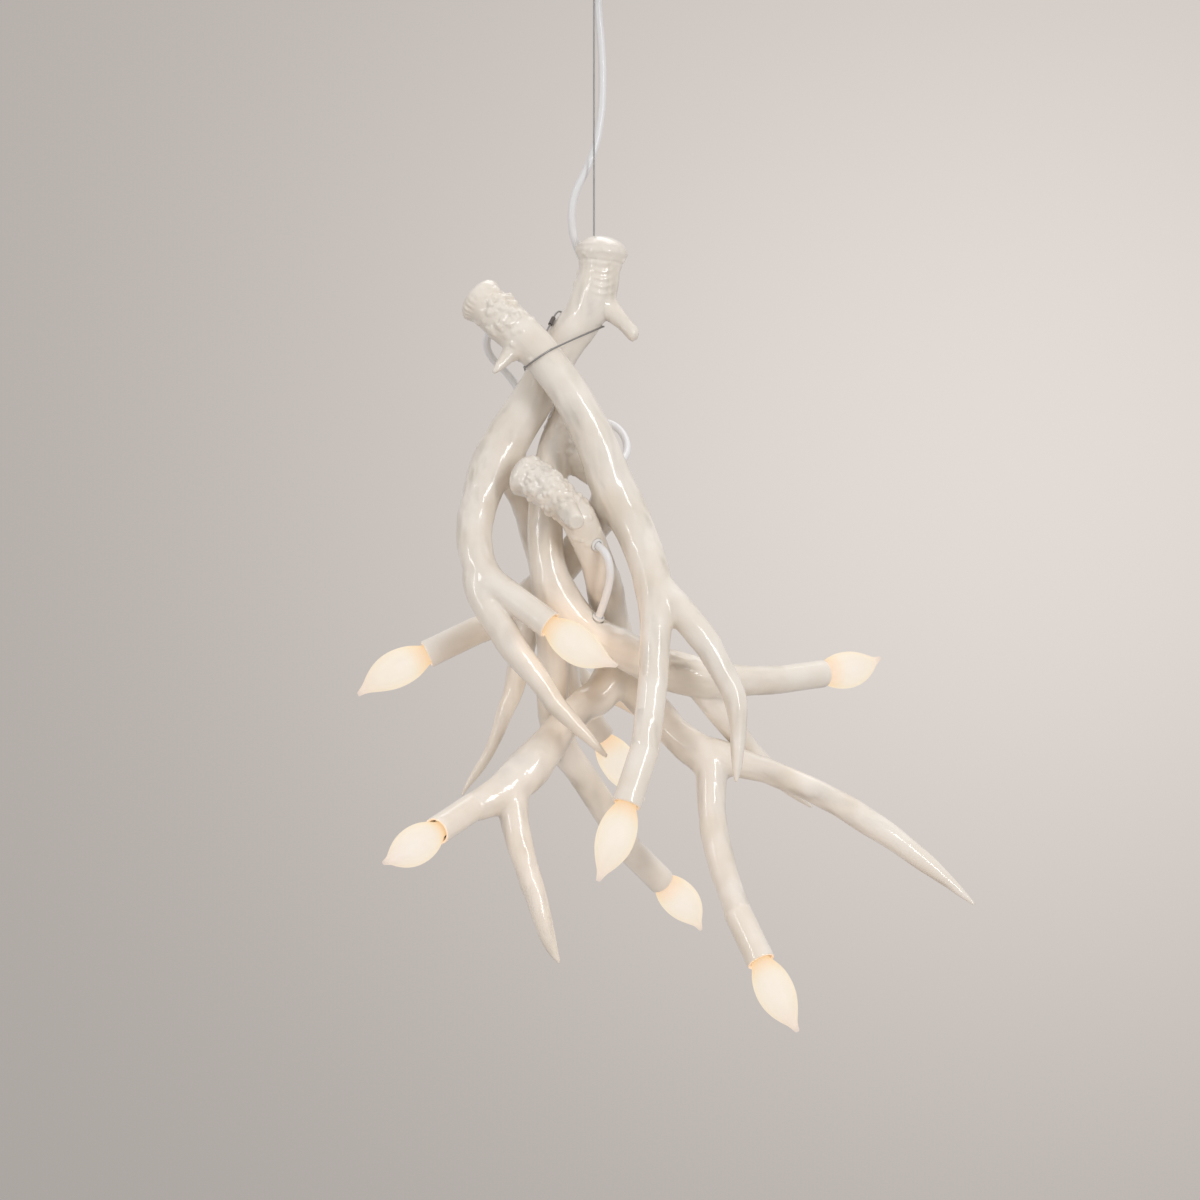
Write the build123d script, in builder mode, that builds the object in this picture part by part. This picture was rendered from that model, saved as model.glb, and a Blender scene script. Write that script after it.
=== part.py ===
from build123d import *

# Antler chandelier: four hollow glazed ceramic antlers tied into a cluster, eight candelabra lamps,
# a steel suspension cable and a power cord, hung from a ceiling canopy.
#
# Millimetres, +Z up, +Y away from the front. The origin is the centre of the canopy's ceiling face,
# and the suspension cable hangs straight down the Z axis.

import os
from math import pi, radians, tan

os.makedirs("parts", exist_ok=True)

# ---------------------------------------------------------------- driving dimensions
CLEARANCE = 0.3  # seating or running gap between two pieces
CRIMP_GAP = 0.05  # a crimped sleeve on its cable

# Ceramic
WALL = 4.5  # slip-cast wall of a limb
THINNEST_HOLLOW = 3.0  # a limb whose hollow would be slimmer than this is solid
SPANS = 4  # spans of a centreline lofted as one smooth length
LIP_RADIUS = 1.0  # rounded rim of a lamp tube
BURR_SKIRT = 9.0  # flare under a burr's rim
PEARL_RADIUS = 2.2
PEARL_COUNT = 16

# Lamp tube and lampholder, measured from the rim of the tube inwards
TUBE_RADIUS = 12.1
POCKET_RADIUS = 9.9
POCKET_DEPTH = 44.0
CHANNEL_RADIUS = 6.5
HOLDER_RECESS = 9.0
HOLDER_BORE = 7.0
HOLDER_BORE_DEPTH = 22.0
SHELL_WALL = 0.5
CONTACT_RADIUS = 2.0
CONTACT_HEIGHT = 2.0

# Bulb with a small screw base and a bent flame tip
THREAD_RADIUS = 5.95
BASE_LENGTH = 12.0
BASE_WALL = 0.4
BASE_NOSE = 3.0
NECK_RADIUS = 5.3
NECK_LENGTH = 6.0
GLASS_WALL = 0.9
# Glass sections: distance out from the rim, radius, sideways bend
GLASS_SECTIONS = (
    (-13.5, 6.3, 0.0),
    (-7.0, 6.8, 0.0),
    (0.0, 8.5, 0.0),
    (9.0, 12.6, 0.0),
    (19.0, 15.4, 0.0),
    (29.0, 16.0, 0.0),
    (39.0, 14.6, 0.2),
    (48.0, 11.3, 0.9),
    (55.0, 7.6, 2.2),
    (60.5, 4.4, 3.8),
    (65.0, 2.7, 5.2),
    (68.0, 1.8, 6.1),
    (70.0, 0.6, 6.6),
)

# Ceiling fitting
CANOPY_RADIUS = 62.0
CANOPY_DEPTH = 30.0
CANOPY_WALL = 1.2
CANOPY_FILLET = 6.0
BOX_SCREW_SPACING = 89.0
CROSSBAR_END = 7.5  # past the middle of each box hole
CROSSBAR_LENGTH = BOX_SCREW_SPACING + 2 * CROSSBAR_END
CROSSBAR_WIDTH = 20.0
CROSSBAR_THICKNESS = 2.0
BOX_HOLE_RADIUS = 2.5
NIPPLE_RADIUS = 5.0
NIPPLE_BORE = 3.6
NIPPLE_BOTTOM = 34.0
NUT_ACROSS_FLATS = 17.0
NUT_THICKNESS = 4.0
PIVOT_DEPTH = NIPPLE_BOTTOM + 12  # room for the ferrule between the nipple and the ball
BALL_RADIUS = 7.0
BALL_FLAT = 5.8
BALL_BORE = 1.9
CUP_PLAY = 0.6  # round the ball inside the cup
CUP_WALL = 1.6
CUP_THROAT = 4.2
CUP_MOUTH = 4.6
CUP_BELOW = 7.5  # the cup's end, under the pivot
COLLAR_FLANGE = 2.0
COLLAR_BOTTOM = 36.0
CORD_EXIT = (3.0, 17.0)
BUSHING_RADIUS = 7.3
BUSHING_FLANGE = 2.0
BUSHING_NECK = 6.2
BUSHING_BORE = 5.0
BUSHING_MOUTH = 6.3
BUSHING_TOP = 26.0
BUSHING_BOTTOM = 52.0

# Cable, cords and ties
CABLE_RADIUS = 0.8
FERRULE_RADIUS = 2.5
FERRULE_BOTTOM = 6.3  # above the pivot
FERRULE_LENGTH = 4.9
CABLE_HOLE_RADIUS = 1.3
CABLE_HOLE_REACH = 20.0  # up and down from the top antler's first station
ANCHOR_RADIUS = 6.0
ANCHOR_THICKNESS = 2.0
ANCHOR_SLEEVE = 8.0
CORD_RADIUS = 3.3
GROMMET_RADIUS = 5.6
GROMMET_FLANGE = 1.5
GROMMET_WALL = 0.9
GROMMET_DEPTH = 6.0
TIE_RADIUS = 0.8
SLEEVE_RADIUS = 1.9
SLEEVE_LENGTH = 8.0

# ---------------------------------------------------------------- antler centrelines
# Each station is (x, y, z, radius). A limb with a lamp ends at the root of its lamp tube, and
# its rim is where that tube opens.

# Front antler: crosses in front of the others. One lamp hangs at the front, one points rear left.
FRONT_MAIN = (
    (-96, -25, -319, 17),
    (-72, -32, -340, 18),
    (-56, -34, -354, 17.5),
    (-41, -35.5, -370, 16),
    (-20, -37, -399, 16.5),
    (-4, -37, -427, 17),
    (8, -35, -456, 18),
    (22, -33, -488, 18.5),
    (34, -38, -512, 17),
    (45, -49, -541, 16),
    (52, -61.9, -574, 15.5),
    (51, -74.9, -606, 13),
    (47.5, -87.6, -652, 12.4),
    (41.3, -100.4, -696.6, TUBE_RADIUS),
)
FRONT_MAIN_RIM = (26.6, -116, -739.5)
FRONT_REAR = (
    (18, -36, -484, 14),
    (3, -5.7, -504, 15),
    (-7, 9, -518, 14.5),
    (-19, 18, -534, 14.5),
    (-38, 27, -556, 13.5),
    (-58, 34, -570, 13.5),
    (-77, 39, -585, 12.5),
    (-101.1, 39.7, -598.1, TUBE_RADIUS),
)
FRONT_REAR_RIM = (-143.9, 33, -618.8)
FRONT_OUTER_TINE = (
    (47, -54.5, -551, 12.5),
    (62, -61.8, -570, 12.5),
    (80, -66.9, -591, 12.5),
    (96, -68.1, -611, 11.5),
    (108, -69, -633, 10.5),
    (115, -70, -647, 10),
    (119, -72, -664, 8.5),
    (119.5, -74, -683, 6.5),
    (119, -76, -704, 4.8),
    (118, -78, -723, 1.4),
)
FRONT_REAR_TINE = (
    (-48, 29, -563, 11),
    (-57, 33, -593, 11),
    (-62, 35, -615, 10.5),
    (-66, 36, -636, 9.5),
    (-73, 36, -660, 7.5),
    (-83, 36, -686, 6),
    (-93, 35, -708, 4.5),
    (-105, 34, -726, 3.3),
    (-114, 33, -741, 1.2),
)
FRONT_BROW_TINE = (
    (-62, -36, -354, 9),
    (-72, -42, -367, 6.5),
    (-79, -47, -376, 4),
    (-84, -51, -382, 1.4),
)

# Top antler: the suspension cable enters its burr.
TOP_MAIN = (
    (6, 0, -277, 18),
    (5, 0, -287, 17),
    (3, 0, -300, 18),
    (-2, 0, -317, 18.5),
    (-17, 1, -342, 17.5),
    (-32, 2, -364, 17.5),
    (-48, 3, -394, 17.5),
    (-61, 3, -415, 18.5),
    (-75, 2, -439, 19.5),
    (-86, -1, -458, 19.5),
    (-94, -6, -478, 17),
    (-100, -13, -501, 16),
    (-101, -21, -523, 15),
    (-97, -28, -541, 14.5),
    (-88, -34, -555, 13.5),
    (-73.4, -39.2, -566, TUBE_RADIUS),
)
TOP_MAIN_RIM = (-36.6, -54, -593.1)
TOP_REAR = (
    (-78, 6, -448, 15.5),
    (-69, 12, -465, 15.5),
    (-60, 26.4, -484, 13.5),
    (-54, 42.3, -503, 13),
    (-48, 56.4, -524, 13),
    (-43, 68.8, -548, 12.5),
    (-37, 79.3, -573, 12.5),
    (-31, 87, -603, 12.3),
    (-19.7, 95.2, -655.6, TUBE_RADIUS),
)
TOP_REAR_RIM = (6.9, 106, -694)
TOP_OUTER_TINE = (
    (-98, -28, -538, 10),
    (-98, -33, -559, 11.5),
    (-89, -38, -579, 12),
    (-76, -42, -598, 12.5),
    (-63, -46, -618, 11.5),
    (-50, -48, -634, 10),
    (-34, -50, -657, 8.5),
    (-19, -51, -673, 7),
    (-4, -52, -688, 4.8),
    (11, -53, -703, 1.4),
)
TOP_REAR_TINE = (
    (-30, 89, -612, 9),
    (-22, 102, -630, 10.5),
    (-8, 116, -644, 9.5),
    (11, 128, -655, 8),
    (30, 138, -665, 6),
    (45, 148, -678, 4),
    (54, 157, -695, 1.4),
)
TOP_BROW_TINE = (
    (9, -3, -317, 9.5),
    (16, -6, -328, 8.5),
    (24, -9, -336, 6.5),
    (31, -11, -345, 4.5),
    (35, -12, -352, 2),
)

# Low antler: its small burr leans on the top antler, and it hangs through the fork of the back one.
LOW_MAIN = (
    (-59, -29, -466, 16),
    (-51, -34, -471, 16),
    (-41, -41, -478, 16),
    (-26, -44, -491, 15),
    (-13, -43, -503, 15),
    (-7, -36, -516, 14.5),
    (2, -19, -538, 14),
    (7, -6.2, -553, 15),
    (11, 9.2, -572, 15.5),
    (14, 23.5, -591, 16.5),
    (19, 32, -611, 17.5),
    (29, 34, -636, 17),
    (48, 29, -663, 14.5),
    (66, 21, -683, 14),
    (80, 15, -695, 15),
    (94, 9, -706, 15.5),
    (100, 3, -723, 13),
    (100, -2, -745, 12),
    (102, -12, -769, 11.8),
    (108, -25, -796, 11.8),
    (120.5, -48.2, -834, TUBE_RADIUS),
)
LOW_MAIN_RIM = (139, -70, -872.5)
LOW_LEFT = (
    (24, 32, -622, 14.5),
    (15, 26.5, -639, 16.5),
    (4, 20, -654, 15.5),
    (-9, 11, -662, 14.5),
    (-23, 2, -676, 14),
    (-36, -8, -691, 15),
    (-50, -19, -708, 17.5),
    (-70, -32, -728, 17),
    (-87, -43, -739, 14.5),
    (-102.7, -53.3, -745.8, TUBE_RADIUS),
)
LOW_LEFT_RIM = (-129.9, -89, -762.9)
LOW_LEFT_TINE = (
    (-63, -30, -722, 12.5),
    (-67, -39, -748, 12),
    (-64, -44, -769, 11.5),
    (-59, -47, -787, 10.5),
    (-52, -50, -809, 10),
    (-44, -53, -834, 8.5),
    (-37, -55, -857, 6),
    (-29, -57, -875, 1.4),
)
LOW_RIGHT_TINE = (
    (86, 12, -698, 11),
    (109, 8, -706, 14),
    (128, 5, -712, 12.5),
    (147, 2, -717, 10.8),
    (180, -4, -731, 10.5),
    (208, -9, -745, 11),
    (236, -13, -762, 11),
    (258, -16, -777, 9.5),
    (280, -19, -794, 8),
    (303, -21, -813, 5),
    (321, -23, -829, 1.4),
)
LOW_BROW_TINE = (
    (-27, -47, -488, 10),
    (-22, -62, -497, 9),
    (-17, -76, -504, 8),
    (-14, -86, -508, 6.5),
)

# Back antler: its burr is tied behind the top antler.
BACK_MAIN = (
    (-18, 26, -395, 14),
    (-20, 24, -402, 14),
    (-25, 16, -422, 15.5),
    (-32, 8, -444, 16),
    (-38, -1, -472, 15),
    (-41, -6, -496, 15),
    (-41, -10, -528, 15),
    (-37, -11, -555, 17),
    (-24, -11, -580, 18),
    (-3, -12, -600, 17),
    (20, -13, -611, 16.5),
    (39, -12, -621, 16.5),
    (60, -9.3, -630, 17.5),
    (86, -2.6, -637, 17.5),
    (109, 4.9, -641, 16),
    (126, 13, -641, 13.5),
    (142, 24, -641, 12.5),
    (161.3, 40.4, -640.4, TUBE_RADIUS),
)
BACK_MAIN_RIM = (198.9, 70, -635.9)
BACK_DOWN = (
    (-36, -10, -559, 14.5),
    (-36, -3.8, -582, 15.5),
    (-35, 11, -610, 14),
    (-35, 25, -640, 13.5),
    (-35, 34.8, -668, 13.5),
    (-29, 44.4, -694, 13),
    (-18, 51, -713, 12),
    (-6, 58, -730, 11.8),
    (12, 72, -759, 11.8),
    (31.9, 91.8, -791.5, TUBE_RADIUS),
)
BACK_DOWN_RIM = (59.7, 118, -820.6)
BACK_RIGHT_TINE = (
    (90, 3, -648, 10),
    (104, 8, -662, 12),
    (119, 16, -681, 11),
    (135, 25, -703, 9),
    (153, 32, -720, 7.5),
    (170, 37, -736, 5),
    (188, 41, -751, 1.4),
)
BACK_DOWN_TINE = (
    (-33, 41, -682, 9.5),
    (-44, 51, -694, 10.5),
    (-54, 65, -704, 9.5),
    (-66, 83, -718, 7.5),
    (-78, 101, -731, 4.5),
    (-86, 115, -741, 1.4),
)
BACK_BROW_TINE = (
    (-29, 7, -443, 10),
    (-19, 5, -453, 9),
    (-8, 4, -464, 7),
    (3, 3, -476, 3),
)

# Burrs: centre of the rim, rim radius, height of the domed cap
FRONT_BURR = ((-95.5, -25.2, -319.5), 19.5, 11.0)
TOP_BURR = ((6.5, 0, -274), 21.8, 11.7)
LOW_BURR = ((-57, -30.2, -467.2), 18.2, 9.0)
BACK_BURR = ((-18.5, 25.6, -396.5), 16.0, 8.0)


# ---------------------------------------------------------------- helpers
def direction(start, end):
    """Unit vector from one point to another; only the first three numbers of each count."""
    return (Vector(*end[:3]) - Vector(*start[:3])).normalized()


def axial_plane(point, along):
    """Sketch plane through a point whose local Y runs along a direction and local X is a radius."""
    side = Vector(0, 1, 0) if abs(along.Y) < 0.9 else Vector(1, 0, 0)
    radial = along.cross(side).normalized()
    return Plane(origin=point, x_dir=radial, z_dir=radial.cross(along))


def turn(point, along, outline, mode=Mode.ADD):
    """Revolve an outline of (radius, distance along) points about an axis through a point."""
    with BuildSketch(axial_plane(point, along)) as profile:
        with BuildLine():
            Polyline(*outline, close=True)
        make_face()
    revolve(profile.sketch, axis=Axis(point, along), mode=mode)


def rod(radius, start, end):
    """Outline of a solid cylinder, for turn."""
    return (0, start), (radius, start), (radius, end), (0, end)


def sleeve(bore, radius, start, end):
    """Outline of a plain tube, for turn."""
    return (bore, start), (radius, start), (radius, end), (bore, end)


def limb_spine(stations, end):
    """Smooth centreline through a limb's stations, leaving its last one towards the end point."""
    with BuildLine(mode=Mode.PRIVATE) as spine:
        Spline(
            *[station[:3] for station in stations],
            tangents=(direction(stations[0], stations[1]), direction(stations[-1], end)),
        )
    return spine.edge()


def grow_limb(stations, rim=None, inset=0.0):
    """Loft round sections square to a limb's centreline.

    With a rim the limb runs on as a straight lamp tube; without one it is a tine. An inset gives the
    shape of the limb's hollow, which stops short of the tube.
    """
    beyond = rim or tuple(Vector(*stations[-1][:3]) + direction(stations[-2], stations[-1]))
    spine = limb_spine(stations, beyond)
    across = Vector(0, 0, 1) if abs(spine.tangent_at(0).Y) > 0.7 else Vector(0, 1, 0)
    rings = []
    for x, y, z, radius in stations:
        if inset and radius - inset < THINNEST_HOLLOW:
            break
        along = spine.tangent_at(spine.param_at_point(Vector(x, y, z)))
        square = Plane(origin=(x, y, z), x_dir=across, z_dir=along)
        across = square.x_dir
        with BuildSketch(square) as ring:
            Circle(radius - inset)
        rings.append(ring.sketch)
    lengths = -(-(len(rings) - 1) // SPANS)
    cuts = [round(index * (len(rings) - 1) / lengths) for index in range(lengths + 1)]
    for first, last in zip(cuts, cuts[1:]):
        loft(sections=rings[first : last + 1])
    if rim and not inset:
        with BuildSketch(Plane(origin=rim, x_dir=across, z_dir=along)) as ring:
            Circle(TUBE_RADIUS)
        loft(sections=[rings[-1], ring.sketch])


def grow_burr(burr, neck):
    """A domed cap with a pearled crown round its rim, on the end of the beam."""
    centre, rim_radius, dome = burr
    outward = direction(neck[1], neck[0])
    with BuildSketch(axial_plane(centre, outward)) as profile:
        with BuildLine():
            Spline((0, dome), (rim_radius * 0.62, dome * 0.8), (rim_radius, 0), tangents=((1, 0), (0, -1)))
            Spline((rim_radius, 0), (neck[0][3] * 0.96, -BURR_SKIRT), tangents=((0, -1), (-0.5, -1)))
            Polyline((neck[0][3] * 0.96, -BURR_SKIRT), (0, -BURR_SKIRT), (0, dome))
        make_face()
    revolve(profile.sketch, axis=Axis(centre, outward))
    with Locations(Plane(origin=centre, z_dir=outward)):
        with PolarLocations(rim_radius - PEARL_RADIUS * 0.35, PEARL_COUNT):
            Sphere(PEARL_RADIUS)


def soften_lip(root, rim):
    """Bevel the outer edge of a lamp tube's rim."""
    near = TUBE_RADIUS - LIP_RADIUS
    outline = ((near - 0.3, 0.3), (TUBE_RADIUS + 0.3, -LIP_RADIUS - 0.3), (TUBE_RADIUS + 0.3, 0.3))
    turn(rim, direction(root, rim), outline, Mode.SUBTRACT)


def grow_pocket(root, rim):
    """The lampholder's pocket, its ledge and the wiring channel behind it."""
    hollow_end = -(Vector(*rim) - Vector(*root[:3])).length - 2
    outline = (
        (0, 2),
        (POCKET_RADIUS, 2),
        (POCKET_RADIUS, -POCKET_DEPTH),
        (CHANNEL_RADIUS, -POCKET_DEPTH),
        (CHANNEL_RADIUS, hollow_end),
        (0, hollow_end),
    )
    turn(rim, direction(root, rim), outline)


def punch(seat):
    """Spot-faced hole for a cord grommet: seat is a surface point and the outward direction there."""
    point, outward = seat
    bore = CORD_RADIUS + CLEARANCE + GROMMET_WALL + CLEARANCE
    face = GROMMET_RADIUS + CLEARANCE
    outline = ((0, 4), (face, 4), (face, 0), (bore, 0), (bore, -11), (0, -11))
    turn(point, Vector(*outward).normalized(), outline, Mode.SUBTRACT)


def grow_glass(rim, along, bend, inset=0.0):
    """Loft a bulb's glass about an axis that bends aside at its tip; an inset hollows it."""
    aside = Vector(*bend) - along * Vector(*bend).dot(along)
    rings = []
    for reach, radius, lean in GLASS_SECTIONS[1:] if inset else GLASS_SECTIONS:
        if radius - inset < 1:
            break
        centre = Vector(*rim) + along * reach + aside * lean
        with BuildSketch(Plane(origin=centre, x_dir=axial_plane(rim, along).x_dir, z_dir=along)) as ring:
            Circle(radius - inset)
        rings.append(ring.sketch)
    loft(sections=rings, mode=Mode.SUBTRACT if inset else Mode.ADD)


def out_of(seat):
    """The two points of a cord's route that come straight out through a grommet."""
    point, outward = seat
    along = Vector(*outward).normalized()
    return tuple(Vector(*point) - along * 4), tuple(Vector(*point) + along * 5)


def into(seat):
    """The two points of a cord's route that go straight in through a grommet."""
    inner, outer = out_of(seat)
    return outer, inner


def closed_in_sleeve(route):
    """A loop's route, opened by a small gap where its ends meet in the sleeve."""
    along = direction(route[-1], route[1]) * (CLEARANCE / 2)
    middle = Vector(*route[0])
    return (tuple(middle + along), *route[1:], tuple(middle - along))


def run_cord(name, route, radius):
    """Sweep a cord along straight runs joined by arcs as large as the runs allow."""
    points = [Vector(*point) for point in route]
    bends = []
    for before, here, after in zip(points, points[1:], points[2:]):
        half_turn = radians((here - before).get_angle(after - here)) / 2
        bends.append(0.45 * min((here - before).length, (after - here).length) / tan(half_turn))
    with BuildLine(mode=Mode.PRIVATE) as path:
        FilletPolyline(*points, radius=bends)
    wire = path.wire()
    with BuildSketch(Plane(origin=wire @ 0, z_dir=wire % 0)) as section:
        Circle(radius)
    sweep(section.sketch, path=wire)
    print(name, "length", round(wire.length, 1), "radii", [round(bend, 1) for bend in bends])
    print("section times length", round(pi * radius**2 * wire.length))


def write(piece, label):
    piece.label = label
    export_step(piece, f"parts/{label}.step")


# ---------------------------------------------------------------- cord grommet seats
# Surface point and outward direction of each cord hole
FRONT_LINK_SEAT = ((-81.6, -16.9, -342.0), (-0.53, 0.84, -0.11))
TOP_LINK_SEAT = ((-58.4, 17.1, -394.0), (-0.59, 0.81, 0.0))
FRONT_LOOP_SEAT = ((17.1, -19.5, -456.0), (0.5, 0.86, 0.0))
BACK_LOOP_SEAT = ((-12.6, 25.3, -421.0), (0.8, 0.6, 0.06))
LOW_LINK_SEAT = ((2.7, -42.8, -525.8), (0.5, -0.8, -0.33))
BACK_LINK_SEAT = ((3.6, -20.9, -587.1), (0.35, -0.52, 0.78))
POWER_SEAT = ((1.0, 17.6, -303.0), (-0.11, 0.98, -0.17))
SEATS = (
    FRONT_LINK_SEAT,
    TOP_LINK_SEAT,
    FRONT_LOOP_SEAT,
    BACK_LOOP_SEAT,
    LOW_LINK_SEAT,
    BACK_LINK_SEAT,
    POWER_SEAT,
)


# ---------------------------------------------------------------- antlers
with BuildPart() as front_hollow:
    grow_limb(FRONT_MAIN, FRONT_MAIN_RIM, WALL)
    grow_limb(FRONT_REAR, FRONT_REAR_RIM, WALL)
    grow_limb(FRONT_OUTER_TINE, inset=WALL)
    grow_limb(FRONT_REAR_TINE, inset=WALL)
    grow_pocket(FRONT_MAIN[-1], FRONT_MAIN_RIM)
    grow_pocket(FRONT_REAR[-1], FRONT_REAR_RIM)

with BuildPart() as antler_front:
    grow_limb(FRONT_MAIN, FRONT_MAIN_RIM)
    grow_limb(FRONT_REAR, FRONT_REAR_RIM)
    grow_limb(FRONT_OUTER_TINE)
    grow_limb(FRONT_REAR_TINE)
    grow_limb(FRONT_BROW_TINE)
    grow_burr(FRONT_BURR, FRONT_MAIN)
    add(front_hollow.part, mode=Mode.SUBTRACT)
    soften_lip(FRONT_MAIN[-1], FRONT_MAIN_RIM)
    soften_lip(FRONT_REAR[-1], FRONT_REAR_RIM)
    punch(FRONT_LINK_SEAT)
    punch(FRONT_LOOP_SEAT)
write(antler_front.part, "antler_front")

with BuildPart() as top_hollow:
    grow_limb(TOP_MAIN, TOP_MAIN_RIM, WALL)
    grow_limb(TOP_REAR, TOP_REAR_RIM, WALL)
    grow_limb(TOP_OUTER_TINE, inset=WALL)
    grow_pocket(TOP_MAIN[-1], TOP_MAIN_RIM)
    grow_pocket(TOP_REAR[-1], TOP_REAR_RIM)

with BuildPart() as antler_top:
    grow_limb(TOP_MAIN, TOP_MAIN_RIM)
    grow_limb(TOP_REAR, TOP_REAR_RIM)
    grow_limb(TOP_OUTER_TINE)
    grow_limb(TOP_REAR_TINE)
    grow_limb(TOP_BROW_TINE)
    grow_burr(TOP_BURR, TOP_MAIN)
    add(top_hollow.part, mode=Mode.SUBTRACT)
    soften_lip(TOP_MAIN[-1], TOP_MAIN_RIM)
    soften_lip(TOP_REAR[-1], TOP_REAR_RIM)
    with Locations((0, 0, TOP_MAIN[0][2])):
        Cylinder(CABLE_HOLE_RADIUS, 2 * CABLE_HOLE_REACH, mode=Mode.SUBTRACT)
    punch(TOP_LINK_SEAT)
    punch(POWER_SEAT)
write(antler_top.part, "antler_top")

with BuildPart() as low_hollow:
    grow_limb(LOW_MAIN, LOW_MAIN_RIM, WALL)
    grow_limb(LOW_LEFT, LOW_LEFT_RIM, WALL)
    grow_limb(LOW_LEFT_TINE, inset=WALL)
    grow_limb(LOW_RIGHT_TINE, inset=WALL)
    grow_pocket(LOW_MAIN[-1], LOW_MAIN_RIM)
    grow_pocket(LOW_LEFT[-1], LOW_LEFT_RIM)

with BuildPart() as antler_low:
    grow_limb(LOW_MAIN, LOW_MAIN_RIM)
    grow_limb(LOW_LEFT, LOW_LEFT_RIM)
    grow_limb(LOW_LEFT_TINE)
    grow_limb(LOW_RIGHT_TINE)
    grow_limb(LOW_BROW_TINE)
    grow_burr(LOW_BURR, LOW_MAIN)
    add(low_hollow.part, mode=Mode.SUBTRACT)
    soften_lip(LOW_MAIN[-1], LOW_MAIN_RIM)
    soften_lip(LOW_LEFT[-1], LOW_LEFT_RIM)
    punch(LOW_LINK_SEAT)
write(antler_low.part, "antler_low")

with BuildPart() as back_hollow:
    grow_limb(BACK_MAIN, BACK_MAIN_RIM, WALL)
    grow_limb(BACK_DOWN, BACK_DOWN_RIM, WALL)
    grow_limb(BACK_RIGHT_TINE, inset=WALL)
    grow_pocket(BACK_MAIN[-1], BACK_MAIN_RIM)
    grow_pocket(BACK_DOWN[-1], BACK_DOWN_RIM)

with BuildPart() as antler_back:
    grow_limb(BACK_MAIN, BACK_MAIN_RIM)
    grow_limb(BACK_DOWN, BACK_DOWN_RIM)
    grow_limb(BACK_RIGHT_TINE)
    grow_limb(BACK_DOWN_TINE)
    grow_limb(BACK_BROW_TINE)
    grow_burr(BACK_BURR, BACK_MAIN)
    add(back_hollow.part, mode=Mode.SUBTRACT)
    soften_lip(BACK_MAIN[-1], BACK_MAIN_RIM)
    soften_lip(BACK_DOWN[-1], BACK_DOWN_RIM)
    punch(BACK_LOOP_SEAT)
    punch(BACK_LINK_SEAT)
write(antler_back.part, "antler_back")

# ---------------------------------------------------------------- lamps
# Root and rim of each lamp tube, and the way the bulb's tip bends (its length scales the bend)
LAMPS = (
    (FRONT_REAR[-1], FRONT_REAR_RIM, (0, 0, -1)),
    (TOP_MAIN[-1], TOP_MAIN_RIM, (0.5, 0, 0.85)),
    (LOW_LEFT[-1], LOW_LEFT_RIM, (-0.3, 0, 0.3)),
    (FRONT_MAIN[-1], FRONT_MAIN_RIM, (-0.4, 0, 0)),
    (TOP_REAR[-1], TOP_REAR_RIM, (0, 0, -0.4)),
    (BACK_DOWN[-1], BACK_DOWN_RIM, (-0.5, 0, -0.85)),
    (LOW_MAIN[-1], LOW_MAIN_RIM, (0.4, 0, 0)),
    (BACK_MAIN[-1], BACK_MAIN_RIM, (0, 0, 1)),
)
HOLDER_RADIUS = POCKET_RADIUS - CLEARANCE
HOLDER_FLOOR = HOLDER_RECESS + HOLDER_BORE_DEPTH
SHELL_RADIUS = HOLDER_BORE - CLEARANCE
BASE_TIP = HOLDER_FLOOR - CONTACT_HEIGHT - CLEARANCE
BASE_BOTTOM = BASE_TIP - BASE_NOSE
BASE_TOP = BASE_BOTTOM - BASE_LENGTH

for number, (root, rim, bend) in enumerate(LAMPS, 1):
    along = direction(root, rim)

    with BuildPart() as lampholder:
        turn(
            rim,
            along,
            (
                (HOLDER_BORE, -HOLDER_RECESS),
                (HOLDER_RADIUS, -HOLDER_RECESS),
                (HOLDER_RADIUS, -POCKET_DEPTH + CLEARANCE),
                (0, -POCKET_DEPTH + CLEARANCE),
                (0, -HOLDER_FLOOR),
                (HOLDER_BORE, -HOLDER_FLOOR),
            ),
        )
    write(lampholder.part, f"lampholder_{number}")

    with BuildPart() as shell:
        turn(
            rim,
            along,
            (
                (SHELL_RADIUS - SHELL_WALL, -BASE_TOP),
                (SHELL_RADIUS, -BASE_TOP),
                (SHELL_RADIUS, -HOLDER_FLOOR + CLEARANCE),
                (SHELL_RADIUS - SHELL_WALL, -HOLDER_FLOOR + CLEARANCE),
            ),
        )
    write(shell.part, f"lampholder_shell_{number}")

    with BuildPart() as base:
        turn(
            rim,
            along,
            (
                (THREAD_RADIUS - BASE_WALL, -BASE_TOP),
                (THREAD_RADIUS, -BASE_TOP),
                (THREAD_RADIUS, -BASE_BOTTOM),
                (CONTACT_RADIUS + 0.6, -BASE_TIP + 0.8),
                (CONTACT_RADIUS, -BASE_TIP),
                (0, -BASE_TIP),
                (0, -BASE_BOTTOM + 1),
                (THREAD_RADIUS - BASE_WALL, -BASE_BOTTOM + 1),
            ),
        )
    write(base.part, f"screw_base_{number}")

    with BuildPart() as glass:
        grow_glass(rim, along, bend)
        neck_top = GLASS_SECTIONS[0][0]
        bore = NECK_RADIUS - GLASS_WALL
        turn(rim, along, rod(NECK_RADIUS, neck_top - NECK_LENGTH, neck_top + 1))
        grow_glass(rim, along, bend, GLASS_WALL)
        turn(rim, along, rod(bore, neck_top - NECK_LENGTH - 1, GLASS_SECTIONS[1][0] + 1), Mode.SUBTRACT)
    write(glass.part, f"glass_bulb_{number}")

with BuildPart() as contacts:
    for root, rim, bend in LAMPS:
        contact = rod(CONTACT_RADIUS, CLEARANCE - HOLDER_FLOOR, -BASE_TIP - CLEARANCE)
        turn(rim, direction(root, rim), contact)
write(contacts.part, "centre_contacts")

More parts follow.
